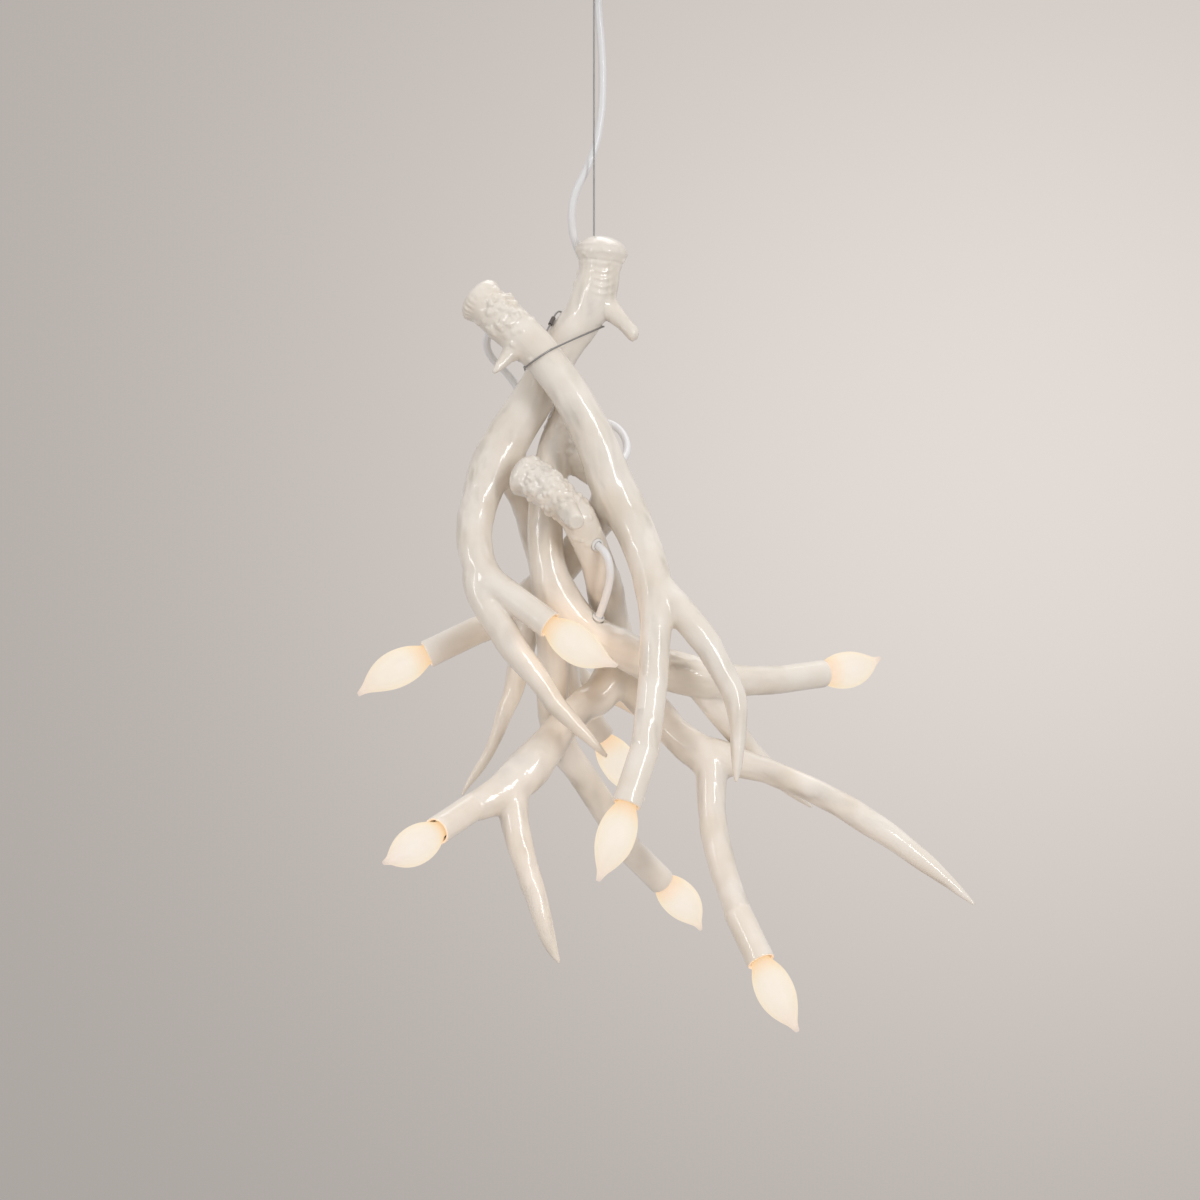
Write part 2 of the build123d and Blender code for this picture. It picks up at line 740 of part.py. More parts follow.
# ---------------------------------------------------------------- ceiling fitting
DOWN = Vector(0, 0, -1)
UP = Vector(0, 0, 1)
CEILING = (0, 0, 0)
PIVOT = (0, 0, -PIVOT_DEPTH)
NIPPLE_HOLE = NIPPLE_RADIUS + CLEARANCE

with BuildPart() as crossbar:
    Box(CROSSBAR_LENGTH, CROSSBAR_WIDTH, CROSSBAR_THICKNESS, align=(Align.CENTER, Align.CENTER, Align.MAX))
    Cylinder(NIPPLE_HOLE, 3 * CROSSBAR_THICKNESS, mode=Mode.SUBTRACT)
    with GridLocations(BOX_SCREW_SPACING, 0, 2, 1):
        Cylinder(BOX_HOLE_RADIUS, 3 * CROSSBAR_THICKNESS, mode=Mode.SUBTRACT)
write(crossbar.part, "crossbar")

with BuildPart() as nipple:
    turn(CEILING, DOWN, sleeve(NIPPLE_BORE, NIPPLE_RADIUS, 0, NIPPLE_BOTTOM))
write(nipple.part, "nipple")

with BuildPart() as lock_nut:
    with BuildSketch(Plane.XY.offset(-CROSSBAR_THICKNESS - CLEARANCE)):
        RegularPolygon(NUT_ACROSS_FLATS / 2, 6, major_radius=False)
        Circle(NIPPLE_HOLE, mode=Mode.SUBTRACT)
    extrude(amount=-NUT_THICKNESS)
write(lock_nut.part, "lock_nut")

with BuildPart() as canopy_cover:
    Cylinder(CANOPY_RADIUS, CANOPY_DEPTH, align=(Align.CENTER, Align.CENTER, Align.MAX))
    fillet(canopy_cover.edges().group_by(Axis.Z)[0], CANOPY_FILLET)
    offset(openings=canopy_cover.faces().sort_by(Axis.Z)[-1], amount=-CANOPY_WALL)
    with Locations((0, 0, -CANOPY_DEPTH)):
        Cylinder(NIPPLE_HOLE, 3 * CANOPY_WALL, mode=Mode.SUBTRACT)
    with Locations((*CORD_EXIT, -CANOPY_DEPTH)):
        Cylinder(BUSHING_NECK + CLEARANCE, 3 * CANOPY_WALL, mode=Mode.SUBTRACT)
write(canopy_cover.part, "canopy_cover")

# The cup screws on to the collar, once the ball is in it
COLLAR_TOP = CANOPY_DEPTH + CLEARANCE
COLLAR_STEP = COLLAR_TOP + COLLAR_FLANGE
CUP_BORE = BALL_RADIUS + CUP_PLAY
CUP_RADIUS = CUP_BORE + CUP_WALL
CONE_APEX = (BALL_RADIUS + CLEARANCE) * 2**0.5  # of the 45 degree seat, under the pivot

with BuildPart() as cup_collar:
    turn(
        CEILING,
        DOWN,
        (
            (NIPPLE_HOLE, COLLAR_TOP),
            (CUP_RADIUS, COLLAR_TOP),
            (CUP_RADIUS, COLLAR_STEP),
            (CUP_BORE - CLEARANCE, COLLAR_STEP),
            (CUP_BORE - CLEARANCE, COLLAR_BOTTOM),
            (NIPPLE_HOLE, COLLAR_BOTTOM),
        ),
    )
write(cup_collar.part, "cup_collar")

with BuildPart() as seat_cup:
    turn(
        PIVOT,
        UP,
        (
            (CUP_BORE, PIVOT_DEPTH - COLLAR_STEP - CLEARANCE),
            (CUP_RADIUS, PIVOT_DEPTH - COLLAR_STEP - CLEARANCE),
            (CUP_RADIUS, -1),
            (CUP_RADIUS - 2.4, -CUP_BELOW),
            (CUP_MOUTH, -CUP_BELOW),
            (CUP_THROAT, CUP_THROAT - CONE_APEX),
            (CUP_BORE, CUP_BORE - CONE_APEX),
        ),
    )
write(seat_cup.part, "seat_cup")

with BuildPart() as stop_ball:
    with Locations(PIVOT):
        Sphere(BALL_RADIUS)
        Cylinder(BALL_BORE, 3 * BALL_RADIUS, mode=Mode.SUBTRACT)
    turn(PIVOT, UP, rod(BALL_RADIUS, BALL_FLAT, 2 * BALL_RADIUS), Mode.SUBTRACT)
write(stop_ball.part, "stop_ball")

with BuildPart() as cord_bushing:
    flange = CANOPY_DEPTH + CLEARANCE
    turn(
        (*CORD_EXIT, 0),
        DOWN,
        (
            (BUSHING_BORE, BUSHING_TOP),
            (BUSHING_NECK, BUSHING_TOP),
            (BUSHING_NECK, flange),
            (BUSHING_RADIUS, flange),
            (BUSHING_RADIUS, flange + BUSHING_FLANGE),
            (BUSHING_MOUTH + 0.8, BUSHING_BOTTOM),
            (BUSHING_MOUTH, BUSHING_BOTTOM),
            (BUSHING_BORE, PIVOT_DEPTH - 4),
        ),
    )
write(cord_bushing.part, "cord_bushing")

# ---------------------------------------------------------------- suspension
CABLE_TOP = FERRULE_BOTTOM + FERRULE_LENGTH - PIVOT_DEPTH
ANCHOR_TOP = TOP_MAIN[0][2] - CLEARANCE
CABLE_BOTTOM = ANCHOR_TOP - ANCHOR_THICKNESS - ANCHOR_SLEEVE
CRIMP = CABLE_RADIUS + CRIMP_GAP

with BuildPart() as suspension_cable:
    turn(CEILING, UP, rod(CABLE_RADIUS, CABLE_TOP, CABLE_BOTTOM))
write(suspension_cable.part, "suspension_cable")

with BuildPart() as cable_ferrule:
    turn(PIVOT, UP, sleeve(CRIMP, FERRULE_RADIUS, FERRULE_BOTTOM, FERRULE_BOTTOM + FERRULE_LENGTH))
write(cable_ferrule.part, "cable_ferrule")

with BuildPart() as cable_anchor:
    turn(
        CEILING,
        UP,
        (
            (CRIMP, ANCHOR_TOP),
            (ANCHOR_RADIUS, ANCHOR_TOP),
            (ANCHOR_RADIUS, ANCHOR_TOP - ANCHOR_THICKNESS),
            (FERRULE_RADIUS, ANCHOR_TOP - ANCHOR_THICKNESS),
            (FERRULE_RADIUS, CABLE_BOTTOM),
            (CRIMP, CABLE_BOTTOM),
        ),
    )
write(cable_anchor.part, "cable_anchor")

# ---------------------------------------------------------------- cords and ties
POWER_ROUTE = (
    (3, 17, -46),
    (3.5, 16.5, -68),
    (6.3, 15.5, -96),
    (7.6, 14.5, -128),
    (6.4, 13, -158),
    (1.5, 12, -186),
    (-7.5, 11.5, -207),
    (-16, 12.5, -223),
    (-19.8, 15, -241),
    (-18.5, 20, -258),
    (-14, 24.5, -272),
    (-7.5, 28, -285),
    (-2, 30, -296),
    *into(POWER_SEAT),
)
LINK_ROUTES = (
    (
        *out_of(FRONT_LINK_SEAT),
        (-90, -4, -346),
        (-92, 4, -356),
        (-87, 12, -366),
        (-78, 19, -374),
        (-70, 25, -383),
        (-65, 26, -392),
        *into(TOP_LINK_SEAT),
    ),
    (
        *out_of(BACK_LOOP_SEAT),
        (2, 33, -419),
        (14, 30, -420),
        (23, 22, -427),
        (28, 11, -437),
        (28, 0, -447),
        (24, -9, -454),
        *into(FRONT_LOOP_SEAT),
    ),
    (
        *out_of(LOW_LINK_SEAT),
        (11, -51, -534),
        (14, -49, -546),
        (13, -42, -558),
        (10, -35, -569),
        *into(BACK_LINK_SEAT),
    ),
)
# Each wire tie is one closed loop; it starts and ends at the middle of its crimp sleeve
TIE_ROUTES = (
    (
        (-35.7, -6.5, -335.5),
        (-40.1, -13.4, -344.8),
        (-48.7, -15.1, -359.1),
        (-56.0, -19.4, -370.3),
        (-59.4, -31.3, -377.2),
        (-56.4, -44.8, -376.7),
        (-48.5, -53.0, -371.0),
        (-36.9, -52.0, -363.2),
        (-16.0, -30.9, -352.1),
        (8.4, -6.4, -339.8),
        (8.2, 8.4, -339.2),
        (-1.5, 18.0, -335.8),
        (-14.0, 20.4, -330.7),
        (-25.4, 13.8, -326.6),
        (-31.3, 0.4, -326.2),
    ),
    (
        (-43.6, 27.5, -394.5),
        (-53.5, 19.9, -383.7),
        (-58.5, 12.5, -377.3),
        (-59.2, 2.3, -373.2),
        (-55.1, -7.8, -371.5),
        (-46.7, -15.0, -372.0),
        (-36.0, -17.9, -373.5),
        (-27.5, -13.5, -380.1),
        (-18.4, -2.0, -392.0),
        (-8.3, 10.7, -404.7),
        (-5.2, 19.0, -410.1),
        (-7.4, 28.7, -413.2),
        (-15.1, 35.8, -413.8),
        (-25.0, 38.3, -411.0),
        (-33.7, 35.2, -405.3),
    ),
)
with BuildPart() as power_cord:
    run_cord("power cord", POWER_ROUTE, CORD_RADIUS)
write(power_cord.part, "power_cord")

for number, route in enumerate(LINK_ROUTES, 1):
    with BuildPart() as cord_link:
        run_cord(f"cord link {number}", route, CORD_RADIUS)
    write(cord_link.part, f"cord_link_{number}")

with BuildPart() as cord_grommets:
    bore = CORD_RADIUS + CLEARANCE
    for point, outward in SEATS:
        turn(
            point,
            Vector(*outward).normalized(),
            (
                (bore, -GROMMET_DEPTH),
                (bore + GROMMET_WALL, -GROMMET_DEPTH),
                (bore + GROMMET_WALL, CLEARANCE),
                (GROMMET_RADIUS, CLEARANCE),
                (GROMMET_RADIUS - 0.5, CLEARANCE + GROMMET_FLANGE),
                (bore, CLEARANCE + GROMMET_FLANGE),
            ),
        )
write(cord_grommets.part, "cord_grommets")

for name, route in zip(("tie_upper", "tie_rear"), TIE_ROUTES):
    with BuildPart() as tie:
        run_cord(name.replace("_", " "), closed_in_sleeve(route), TIE_RADIUS)
    write(tie.part, name)

with BuildPart() as crimp_sleeves:
    bore = TIE_RADIUS + CRIMP_GAP
    half = SLEEVE_LENGTH / 2
    for route in TIE_ROUTES:
        outline = ((bore, -half), (SLEEVE_RADIUS, -half), (SLEEVE_RADIUS, half), (bore, half))
        turn(route[0], direction(route[-1], route[1]), outline)
write(crimp_sleeves.part, "crimp_sleeves")
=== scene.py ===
import math
from collections import namedtuple

import bmesh
import bpy
import numpy as np
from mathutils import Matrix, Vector, noise


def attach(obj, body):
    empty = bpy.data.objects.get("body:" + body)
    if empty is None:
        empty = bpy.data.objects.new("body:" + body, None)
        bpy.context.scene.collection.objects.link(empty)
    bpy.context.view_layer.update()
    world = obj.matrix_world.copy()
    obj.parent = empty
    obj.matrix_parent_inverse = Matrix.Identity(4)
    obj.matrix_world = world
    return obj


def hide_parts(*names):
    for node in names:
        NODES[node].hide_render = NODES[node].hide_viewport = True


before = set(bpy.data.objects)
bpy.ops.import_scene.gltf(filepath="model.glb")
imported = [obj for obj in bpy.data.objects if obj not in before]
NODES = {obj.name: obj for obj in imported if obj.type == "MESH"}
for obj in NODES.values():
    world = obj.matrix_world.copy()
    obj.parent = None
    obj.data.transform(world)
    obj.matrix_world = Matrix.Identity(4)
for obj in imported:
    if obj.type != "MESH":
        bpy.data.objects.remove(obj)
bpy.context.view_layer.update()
RNG = np.random.default_rng(7)

# Camera: the photograph's width at the plane of the cable, and the point at its middle
CAMERA_DISTANCE = 3.0
VIEW_WIDTH = 1.02
VIEW_X, VIEW_Z = 0.0051, -0.572
SENSOR_WIDTH = 36

# Cords, as in the part's source
CORD_RADIUS = 0.0033

# Skin of the antlers
VOXEL = 0.0012
WEB_STEPS = 130
STREAK_HEIGHT = 0.00048
STREAK_PASSES = 110  # how far the noise is drawn out along a limb
SWELL_HEIGHT = 0.0003
SWELL_SCALE = 30
PEARL_SPACING = 0.0058
PEARL_SIZES = (0.0013, 0.0026)
PEARL_HEIGHTS = (0.0004, 0.0012)
LUMP_OUTLINE_SCALE = 330

# Lamp tubes: the smooth outer skin, the wall's middle and the pocket, how far the lip covers them,
# the part of a mouth that is trimmed to them, and what stays free of webs, ridges and pearls
TUBE_SKIN = 0.0120
WALL_MIDDLE = 0.011
POCKET_SKIN = 0.0101
LIP_COVER = 0.0016
MOUTH_RADII = (0.0085, 0.0145)
MOUTH_REACH = (-0.011, 0.003)
SMOOTH_RADIUS = 0.016
SMOOTH_DEPTH = 0.05

# Light of a bulb
LAMP_ENERGY = 0.03
LAMP_COLOUR = (1.0, 0.58, 0.30)
LAMP_MIDDLE = 0.03  # distance out from the rim

# Backdrop and room
POOL_PLACE = (0.12, 0.04)  # direction of the wall's brightest place, across and up
POOL_SIZE = (0.224, 0.204)
POOL_LEVEL = 0.36
WALL_LEVEL = 0.395
WALL_RISE = 0.12
REAR_WALL_EXTRA = 0.25
ROOM_LEVEL = 0.58
ROOM_RISE = 0.30
ROOM_TINT = (0.99, 0.965, 0.955, 1)
WALL_TINT = (1.0, 0.922, 0.868, 1)
STUDIO_WHITE = (0.98, 1.0, 1.02)
FLOOR_RADIUS = 1.3
FLOOR_Z = -1.62

# ---------------------------------------------------------------- camera
camera = bpy.data.objects.new("camera", bpy.data.cameras.new("camera"))
bpy.context.collection.objects.link(camera)
camera.location = (VIEW_X, -CAMERA_DISTANCE, VIEW_Z)
camera.rotation_euler = (math.radians(90), 0, 0)
camera.data.sensor_width = SENSOR_WIDTH
camera.data.lens = SENSOR_WIDTH * CAMERA_DISTANCE / VIEW_WIDTH
camera.data.clip_end = 60
scene = bpy.context.scene
scene.camera = camera
scene.view_settings.view_transform = "Standard"


# ---------------------------------------------------------------- materials
def material(name):
    """A new node material, with its nodes and its links."""
    made = bpy.data.materials.new(name)
    made.use_nodes = True
    return made, made.node_tree.nodes, made.node_tree.links


def plain(name, colour, roughness, metallic=0.0, coat=0.0, grain=220, depth=0.0):
    """A principled material with a fine grain in its gloss, and in its relief if it has a depth."""
    made, nodes, links = material(name)
    shader = nodes["Principled BSDF"]
    shader.inputs["Base Color"].default_value = (*colour, 1)
    shader.inputs["Roughness"].default_value = roughness
    shader.inputs["Metallic"].default_value = metallic
    shader.inputs["Coat Weight"].default_value = coat
    place = nodes.new("ShaderNodeTexCoord")
    texture = nodes.new("ShaderNodeTexNoise")
    texture.inputs["Scale"].default_value = grain
    texture.inputs["Detail"].default_value = 3
    links.new(place.outputs["Object"], texture.inputs["Vector"])
    spread = nodes.new("ShaderNodeMapRange")
    spread.inputs["To Min"].default_value = roughness * 0.8
    spread.inputs["To Max"].default_value = min(1, roughness * 1.25)
    links.new(texture.outputs["Fac"], spread.inputs["Value"])
    links.new(spread.outputs["Result"], shader.inputs["Roughness"])
    if depth:
        relief = nodes.new("ShaderNodeBump")
        relief.inputs["Distance"].default_value = depth
        relief.inputs["Strength"].default_value = 0.6
        links.new(texture.outputs["Fac"], relief.inputs["Height"])
        links.new(relief.outputs["Normal"], shader.inputs["Normal"])
    return made


def glaze():
    """White pottery glaze: glossy, faintly pooled in colour, and a little wavy."""
    made, nodes, links = material("glaze")
    shader = nodes["Principled BSDF"]
    place = nodes.new("ShaderNodeTexCoord")
    pools = nodes.new("ShaderNodeTexNoise")
    pools.inputs["Scale"].default_value = 26
    pools.inputs["Detail"].default_value = 4
    links.new(place.outputs["Object"], pools.inputs["Vector"])
    tint = nodes.new("ShaderNodeValToRGB")
    tint.color_ramp.elements[0].position = 0.3
    tint.color_ramp.elements[0].color = (0.77, 0.69, 0.585, 1)
    tint.color_ramp.elements[1].position = 0.62
    tint.color_ramp.elements[1].color = (0.85, 0.785, 0.705, 1)
    links.new(pools.outputs["Fac"], tint.inputs["Fac"])
    links.new(tint.outputs["Color"], shader.inputs["Base Color"])
    shader.inputs["Roughness"].default_value = 0.3
    shader.inputs["Specular IOR Level"].default_value = 0.25
    shader.inputs["Coat Weight"].default_value = 0.75
    shader.inputs["Coat Roughness"].default_value = 0.02
    ripple = nodes.new("ShaderNodeTexNoise")
    ripple.inputs["Scale"].default_value = 95
    ripple.inputs["Detail"].default_value = 2
    links.new(place.outputs["Object"], ripple.inputs["Vector"])
    relief = nodes.new("ShaderNodeBump")
    relief.inputs["Distance"].default_value = 0.0006
    relief.inputs["Strength"].default_value = 0.28
    links.new(ripple.outputs["Fac"], relief.inputs["Height"])
    links.new(relief.outputs["Normal"], shader.inputs["Normal"])
    links.new(relief.outputs["Normal"], shader.inputs["Coat Normal"])
    return made


# Colours of a lit bulb from the holder (0) to its tip (1)
LIT_GLASS = (
    (0.0, (0.50, 0.24, 0.09, 1)),
    (0.22, (1.0, 0.68, 0.37, 1)),
    (0.33, (1.0, 0.78, 0.51, 1)),
    (0.39, (0.97, 0.83, 0.60, 1)),
    (0.45, (0.97, 0.84, 0.64, 1)),
    (0.72, (0.96, 0.83, 0.63, 1)),
    (0.85, (0.95, 0.80, 0.62, 1)),
    (0.93, (0.93, 0.77, 0.63, 1)),
    (1.0, (0.76, 0.64, 0.57, 1)),
)
LIT_GLASS_START = -0.02
LIT_GLASS_END = 0.07


def lamp_glass():
    """Frosted glass lit from inside, coloured by the distance out from the tube's rim."""
    made, nodes, links = material("lamp_glass")
    shader = nodes["Principled BSDF"]
    shader.inputs["Base Color"].default_value = (0.12, 0.11, 0.10, 1)
    shader.inputs["Roughness"].default_value = 0.5
    shader.inputs["Specular IOR Level"].default_value = 0.2
    shader.inputs["Emission Strength"].default_value = 0.81
    reach = nodes.new("ShaderNodeAttribute")
    reach.attribute_name = "reach"
    spread = nodes.new("ShaderNodeMapRange")
    spread.inputs["From Min"].default_value = LIT_GLASS_START
    spread.inputs["From Max"].default_value = LIT_GLASS_END
    links.new(reach.outputs["Fac"], spread.inputs["Value"])
    ramp = nodes.new("ShaderNodeValToRGB")
    stops = ramp.color_ramp.elements
    stops[0].position, stops[0].color = LIT_GLASS[0]
    stops[1].position, stops[1].color = LIT_GLASS[-1]
    for place, colour in LIT_GLASS[1:-1]:
        stops.new(place).color = colour
    links.new(spread.outputs["Result"], ramp.inputs["Fac"])
    links.new(ramp.outputs["Color"], shader.inputs["Emission Color"])
    clear = nodes.new("ShaderNodeBsdfTransparent")
    mix = nodes.new("ShaderNodeMixShader")
    mix.inputs["Fac"].default_value = 0.75
    links.new(clear.outputs["BSDF"], mix.inputs[1])
    links.new(shader.outputs["BSDF"], mix.inputs[2])
    links.new(mix.outputs["Shader"], nodes["Material Output"].inputs["Surface"])
    return made


def glow():
    """What whitens the middle of a lit bulb: a faint light that adds up with the bulb's depth."""
    made, nodes, links = material("glow")
    nodes.remove(nodes["Principled BSDF"])
    light = nodes.new("ShaderNodeEmission")
    light.inputs["Color"].default_value = (0.08, 0.36, 1.0, 1)
    light.inputs["Strength"].default_value = 56
    links.new(light.outputs["Emission"], nodes["Material Output"].inputs["Volume"])
    return made


GLAZE = glaze()
LAMP_GLASS = lamp_glass()
GLOW = glow()
BRASS = plain("brass", (0.72, 0.55, 0.26), 0.28, metallic=1.0)
HOLDER = plain("holder", (0.045, 0.042, 0.04), 0.5, grain=400, depth=0.0002)
PAINT = plain("canopy_paint", (0.80, 0.79, 0.77), 0.38, coat=0.2, grain=500, depth=0.00008)
STEEL = plain("plated_steel", (0.58, 0.58, 0.57), 0.3, metallic=1.0, grain=300, depth=0.00005)
WHITE = plain("white_plastic", (0.80, 0.80, 0.79), 0.35)
WIRE = plain("wire_steel", (0.34, 0.33, 0.32), 0.42, metallic=0.9, grain=1500, depth=0.0002)
SLEEVE = plain("crimp_alloy", (0.16, 0.14, 0.13), 0.45, metallic=0.7)
ALLOY = plain("alloy", (0.50, 0.49, 0.48), 0.35, metallic=1.0)
CORD = plain("cord_jacket", (0.80, 0.79, 0.79), 0.36, coat=0.25, grain=350, depth=0.0001)
GROMMET = plain("grommet", (0.78, 0.765, 0.74), 0.5)

# ---------------------------------------------------------------- cords
# Length of each cord, and its route in the part's source
CORDS = {
    "power_cord": (
        0.279,
        (
            (0.003, 0.017, -0.046),
            (0.0035, 0.0165, -0.068),
            (0.0063, 0.0155, -0.096),
            (0.0076, 0.0145, -0.128),
            (0.0064, 0.013, -0.158),
            (0.0015, 0.012, -0.186),
            (-0.0075, 0.0115, -0.207),
            (-0.016, 0.0125, -0.223),
            (-0.0198, 0.015, -0.241),
            (-0.0185, 0.02, -0.258),
            (-0.014, 0.0245, -0.272),
            (-0.0075, 0.028, -0.285),
            (-0.002, 0.03, -0.296),
            (0.00045, 0.0225, -0.30385),
            (0.00144, 0.01368, -0.30232),
        ),
    ),
    "cord_link_1": (
        0.098,
        (
            (-0.07948, -0.02026, -0.34156),
            (-0.08425, -0.0127, -0.34255),
            (-0.09, -0.004, -0.346),
            (-0.092, 0.004, -0.356),
            (-0.087, 0.012, -0.366),
            (-0.078, 0.019, -0.374),
            (-0.07, 0.025, -0.383),
            (-0.065, 0.026, -0.392),
            (-0.06134, 0.02114, -0.394),
            (-0.05604, 0.01387, -0.394),
        ),
    ),
    "cord_link_2": (
        0.105,
        (
            (-0.01579, 0.0229, -0.42124),
            (-0.00861, 0.02829, -0.4207),
            (0.002, 0.033, -0.419),
            (0.014, 0.03, -0.42),
            (0.023, 0.022, -0.427),
            (0.028, 0.011, -0.437),
            (0.028, 0.0, -0.447),
            (0.024, -0.009, -0.454),
            (0.01961, -0.01518, -0.456),
            (0.01509, -0.02296, -0.456),
        ),
    ),
    "cord_link_3": (
        0.0855,
        (
            (0.0007, -0.0396, -0.52448),
            (0.0052, -0.0468, -0.52745),
            (0.011, -0.051, -0.534),
            (0.014, -0.049, -0.546),
            (0.013, -0.042, -0.558),
            (0.01, -0.035, -0.569),
            (0.00535, -0.0235, -0.5832),
            (0.0022, -0.01882, -0.59022),
        ),
    ),
}

for name, (cord_length, route) in CORDS.items():
    curve = bpy.data.curves.new(name + "_line", "CURVE")
    curve.dimensions = "3D"
    curve.bevel_depth = CORD_RADIUS
    curve.bevel_resolution = 8
    curve.resolution_u = 12
    curve.use_fill_caps = True
    spline = curve.splines.new("NURBS")
    spline.points.add(len(route) - 1)
    for point, place in zip(spline.points, route):
        point.co = (*place, 1)
    spline.order_u = 3
    spline.use_endpoint_u = True
    piece = bpy.data.objects.new(name + "_piece", curve)
    bpy.context.collection.objects.link(piece)
    curve.materials.append(CORD)
    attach(piece, "cluster")
    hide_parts(name)

# ---------------------------------------------------------------- lamps
# Rim and root of each lamp tube, and the way the bulb's tip bends, as in the part's source
LAMPS = {
    1: ((-0.1439, 0.033, -0.6188), (-0.1011, 0.0397, -0.5981), (0, 0, -1)),
    2: ((-0.0366, -0.054, -0.5931), (-0.0734, -0.0392, -0.566), (0.5, 0, 0.85)),
    3: ((-0.1299, -0.089, -0.7629), (-0.1027, -0.0533, -0.7458), (-0.3, 0, 0.3)),
    4: ((0.0266, -0.116, -0.7395), (0.0413, -0.1004, -0.6966), (-0.4, 0, 0)),
    5: ((0.0069, 0.106, -0.694), (-0.0197, 0.0952, -0.6556), (0, 0, -0.4)),
    6: ((0.0597, 0.118, -0.8206), (0.0319, 0.0918, -0.7915), (-0.5, 0, -0.85)),
    7: ((0.139, -0.07, -0.8725), (0.1205, -0.0482, -0.834), (0.4, 0, 0)),
    8: ((0.1989, 0.07, -0.6359), (0.1613, 0.0404, -0.6404), (0, 0, 1)),
}

# Sections of the glow inside a bulb: distance out from the rim, radius, how far the middle leans
# the way the tip bends
GLOW_SIDES = 32
GLOW_SECTIONS = (
    (-0.004, 0.001, 0),
    (0.0, 0.0065, 0),
    (0.009, 0.0108, 0),
    (0.019, 0.0138, 0),
    (0.029, 0.0146, 0),
    (0.039, 0.0131, 0.0002),
    (0.048, 0.0098, 0.0009),
    (0.055, 0.0062, 0.0022),
    (0.0605, 0.0032, 0.0038),
    (0.0645, 0.0014, 0.005),
    (0.0665, 0.0003, 0.0057),
)

# Sections of a lamp tube's rounded mouth, from its outside over the rim into the pocket
LIP_SIDES = 48
LIP_SECTIONS = (
    (-0.0120, 0.01200, 0),
    (-0.0080, 0.01218, 0),
    (-0.0014, 0.01222, 0),
    (-0.0005, 0.01200, 0),
    (-0.0001, 0.01155, 0),
    (0.0, 0.0110, 0),
    (-0.0001, 0.01045, 0),
    (-0.0005, 0.00995, 0),
    (-0.0014, 0.00972, 0),
    (-0.0060, 0.00970, 0),
    (-0.0080, 0.01000, 0),
)


def turned(name, sections, sides, rim, along, aside, finish, closed):
    """A turned form about a lamp tube's axis; its axis may bend aside."""
    across = along.orthogonal().normalized()
    other = along.cross(across)
    angles = [2 * math.pi * k / sides for k in range(sides)]
    spokes = [across * math.cos(a) + other * math.sin(a) for a in angles]
    form = bmesh.new()
    rings = []
    for reach, radius, lean in sections:
        centre = rim + along * reach + aside * lean
        rings.append([form.verts.new(centre + spoke * radius) for spoke in spokes])
    for low, high in zip(rings, rings[1:]):
        for k in range(sides):
            after = (k + 1) % sides
            face = form.faces.new((low[k], low[after], high[after], high[k]))
            face.smooth = not closed
    if closed:
        form.faces.new(rings[0])
        form.faces.new(rings[-1])
    bmesh.ops.recalc_face_normals(form, faces=form.faces)
    mesh = bpy.data.meshes.new(name)
    form.to_mesh(mesh)
    form.free()
    mesh.materials.append(finish)
    made = bpy.data.objects.new(name, mesh)
    bpy.context.collection.objects.link(made)
    return made


for number, (rim, root, bend) in LAMPS.items():
    rim = Vector(rim)
    along = (rim - Vector(root)).normalized()
    bend = Vector(bend)
    aside = bend - along * bend.dot(along)
    inner = turned(f"glow_{number}", GLOW_SECTIONS, GLOW_SIDES, rim, along, aside, GLOW, closed=True)
    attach(inner, f"bulb_{number}")
    lip = turned(f"lip_{number}", LIP_SECTIONS, LIP_SIDES, rim, along, aside, GLAZE, closed=False)
    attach(lip, "cluster")

    # the glass lets the lamp's light out, and knows how far each of its points lies from the rim
    glass = NODES[f"glass_bulb_{number}"]
    glass.visible_shadow = False
    to_world = glass.matrix_world
    reach = glass.data.attributes.new("reach", "FLOAT", "POINT")
    reach.data.foreach_set("value", [(to_world @ v.co - rim).dot(along) for v in glass.data.vertices])

    lamp = bpy.data.lights.new(f"lamp_light_{number}", "POINT")
    lamp.energy = LAMP_ENERGY
    lamp.color = LAMP_COLOUR
    lamp.shadow_soft_size = 0.012
    light = bpy.data.objects.new(f"lamp_light_{number}", lamp)
    light.location = rim + along * LAMP_MIDDLE
    light.visible_camera = False
    light.visible_glossy = False
    bpy.context.collection.objects.link(light)
    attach(light, f"bulb_{number}")

# ---------------------------------------------------------------- finishes of the carried-over pieces
FINISHES = {
    "glass_bulb": LAMP_GLASS,
    "screw_base": BRASS,
    "lampholder_shell": BRASS,
    "lampholder": HOLDER,
    "centre_contacts": BRASS,
    "canopy_cover": PAINT,
    "crossbar": STEEL,
    "nipple": STEEL,
    "lock_nut": STEEL,
    "cup_collar": STEEL,
    "seat_cup": STEEL,
    "stop_ball": STEEL,
    "cord_bushing": WHITE,
    "suspension_cable": WIRE,
    "cable_ferrule": ALLOY,
    "cable_anchor": STEEL,
    "cord_grommets": GROMMET,
    "tie_upper": WIRE,
    "tie_rear": WIRE,
    "crimp_sleeves": SLEEVE,
}
for name, node in NODES.items():
    match = [key for key in FINISHES if name.startswith(key)]
    if not match:
        continue
    node.data.materials.clear()
    node.data.materials.append(FINISHES[max(match, key=len)])

# ---------------------------------------------------------------- antlers
# Of a burr, rim is the radius, run how far its pearls reach down the beam, and soft_passes how
# often its crown is smoothed. Of a crowd of pearls, size and height are the largest pearl's.
Burr = namedtuple("Burr", "centre outward rim run pearls soft_passes crowds")
Crowd = namedtuple("Crowd", "place spread number size height")

